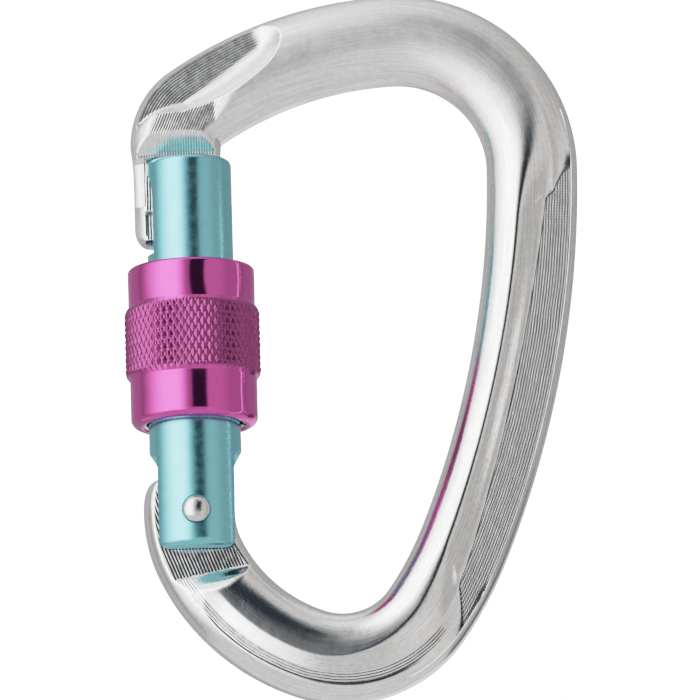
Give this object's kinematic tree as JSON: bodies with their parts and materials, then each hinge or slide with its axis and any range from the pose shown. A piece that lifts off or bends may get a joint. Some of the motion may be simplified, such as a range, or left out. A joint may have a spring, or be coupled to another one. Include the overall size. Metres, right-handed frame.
{
  "type": "locking carabiner",
  "caption": "Screw-gate locking carabiner: asymmetric D-shaped forged body, keylock nose, sprung tubular gate on a rivet and a knurled sleeve that screws up over the nose.",
  "frame": {"origin": "The point inside the wide end where a rope or a bolt hanger bears on the body, in the middle of its thickness.", "axes": "+Z runs along the closed gate from its pivot towards the nose, +X points away from the gate towards the spine, and the thickness is along Y, the front facing -Y."},
  "size_m": [0.0691, 0.0206, 0.1086],
  "materials": {
    "polished_aluminium": "tumble-polished forged aluminium, fine parallel tool marks on the recess floors and milled flats",
    "teal_anodised_aluminium": "satin teal anodising, turned",
    "magenta_anodised_aluminium": "glossy magenta anodising with a diamond-knurled grip band",
    "rivet_steel": "polished stainless steel",
    "spring_steel": "bright drawn stainless steel"
  },
  "bodies": {
    "frame": {"body": "polished_aluminium"},
    "gate": {"gate_barrel": "teal_anodised_aluminium", "gate_rivet": "rivet_steel", "closing_spring": "spring_steel"},
    "plunger": {"spring_plunger": "spring_steel"},
    "sleeve_ring": {"retaining_ring": "spring_steel"},
    "sleeve": {"locking_sleeve": "magenta_anodised_aluminium"}
  },
  "joints": [
    {"name": "gate_pivot", "type": "hinge", "parent": "frame", "child": "gate", "pos_m": [-0.031, 0, -0.0658], "axis": [0, 1, 0], "range_deg": [0, 40], "stiffness_Nm_per_rad": 0.35, "springref_deg": -28.65},
    {"name": "plunger_slide", "type": "slide", "parent": "gate", "child": "plunger", "axis": [0, 0, 1], "range_m": [0, 0.0017], "deforming": ["closing_spring"]},
    {"name": "sleeve_travel", "type": "slide", "parent": "gate", "child": "sleeve_ring", "axis": [0, 0, 1], "range_m": [0, 0.0086]},
    {"name": "sleeve_turn", "type": "hinge", "parent": "sleeve_ring", "child": "sleeve", "pos_m": [-0.031, 0, -0.0398], "axis": [0, 0, 1], "range_deg": [0, 1530]}
  ],
  "couplings": [
    {"joint": "plunger_slide", "follows": "gate_pivot", "m_per_rad": 0.0024},
    {"joint": "sleeve_travel", "follows": "sleeve_turn", "m_per_rad": 0.00031831}
  ]
}
